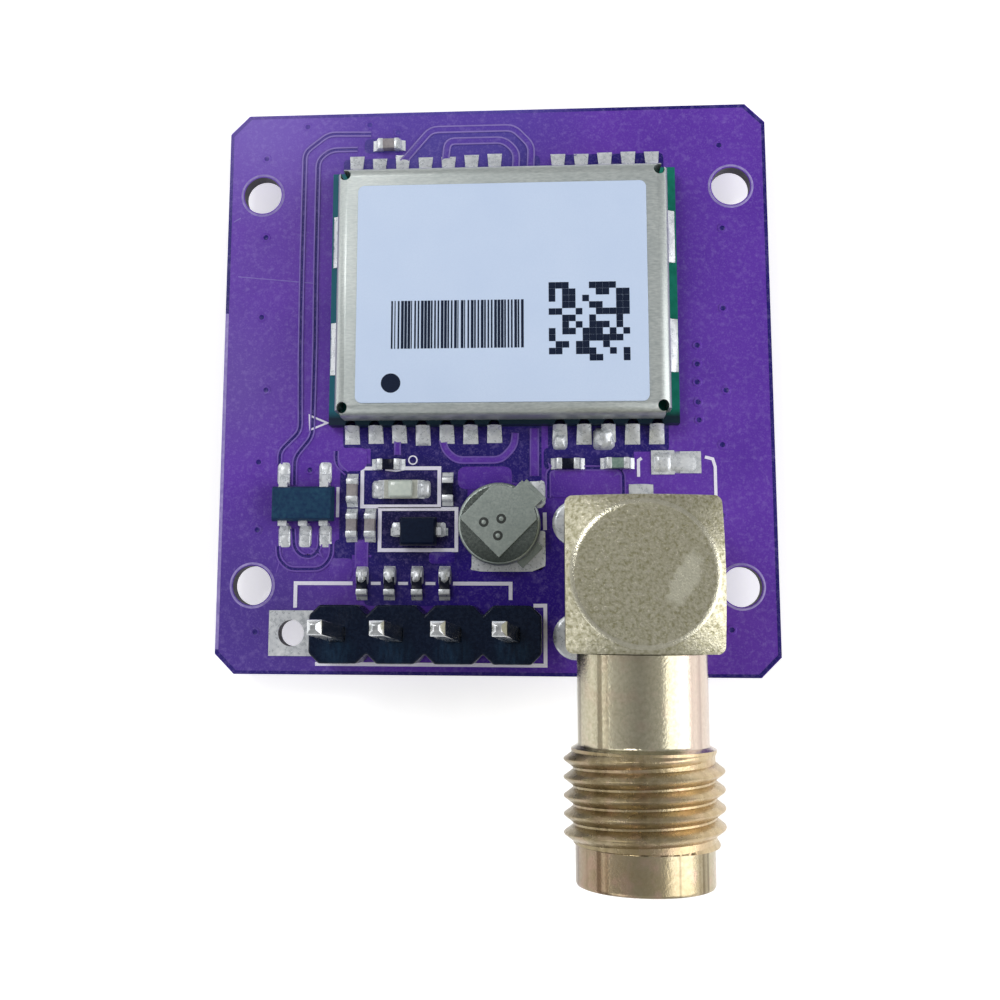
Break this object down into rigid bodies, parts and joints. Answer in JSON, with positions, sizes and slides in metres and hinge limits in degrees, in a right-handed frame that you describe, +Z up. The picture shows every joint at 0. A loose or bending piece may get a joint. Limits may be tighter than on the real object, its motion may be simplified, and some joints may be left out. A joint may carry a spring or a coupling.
{
  "type": "gps module",
  "caption": "Square circuit board with a shielded satellite positioning receiver, a right-angle coaxial antenna jack, a pin header, a backup cell and small supply parts.",
  "frame": {"origin": "centre of the four mounting holes, on the underside of the circuit board", "axes": "+Z up from the component side, -Y along the antenna jack, +X to the right with the jack towards the viewer"},
  "size_m": [0.0254, 0.0343, 0.0115],
  "materials": {
    "board_laminate": "glossy purple solder mask over glass laminate",
    "module_laminate": "green solder mask over glass laminate",
    "shield_metal": "satin nickel silver sheet",
    "label_paper": "matt white label stock",
    "black_plastic": "matt moulded epoxy",
    "ceramic_package": "ceramic with a metal lid",
    "chip_ceramic": "tan ceramic with tinned ends",
    "chip_black": "black glaze with tinned ends",
    "chip_green": "grey-green ceramic with tinned ends",
    "solder": "bright tin solder",
    "tin_plate": "bright tin plate",
    "gold_brass": "pale gold plate over brass",
    "contact_gold": "gold plate",
    "white_insulator": "white fluoropolymer",
    "header_plastic": "glossy black moulding",
    "lamp_carrier_white": "white laminate",
    "lamp_resin": "clear pale resin",
    "cell_steel": "satin stainless steel",
    "cell_seal": "dark polymer seal"
  },
  "bodies": {
    "root": {"circuit_board": "board_laminate", "module_board": "module_laminate", "module_shield": "shield_metal", "module_label": "label_paper", "module_receiver_chip": "black_plastic", "module_amplifier": "black_plastic", "regulator_body": "black_plastic", "diode_body": "black_plastic", "module_oscillator": "ceramic_package", "module_filter": "ceramic_package", "module_clock_crystal": "ceramic_package", "module_chip_parts": "chip_ceramic", "capacitor_1": "chip_ceramic", "capacitor_2": "chip_ceramic", "capacitor_3": "chip_ceramic", "capacitor_4": "chip_ceramic", "resistor_1": "chip_black", "resistor_2": "chip_black", "resistor_3": "chip_black", "resistor_4": "chip_black", "resistor_5": "chip_black", "resistor_6": "chip_black", "resistor_7": "chip_black", "coil": "chip_green", "module_solder_joints": "solder", "shield_solder": "solder", "jack_solder_joints": "solder", "header_solder_joints": "solder", "chip_solder": "solder", "lead_solder": "solder", "bare_pads": "solder", "header_pin_1": "tin_plate", "header_pin_2": "tin_plate", "header_pin_3": "tin_plate", "header_pin_4": "tin_plate", "regulator_leads": "tin_plate", "diode_leads": "tin_plate", "jack_block": "gold_brass", "jack_barrel": "gold_brass", "jack_socket_contact": "contact_gold", "jack_board_pin": "contact_gold", "jack_insulator": "white_insulator", "jack_base_insulator": "white_insulator", "header_strip": "header_plastic", "lamp_carrier": "lamp_carrier_white", "lamp_lens": "lamp_resin", "cell_can": "cell_steel", "cell_cap": "cell_steel", "cell_top_tab": "cell_steel", "cell_bottom_tab": "cell_steel", "cell_gasket": "cell_seal"}
  },
  "joints": []
}
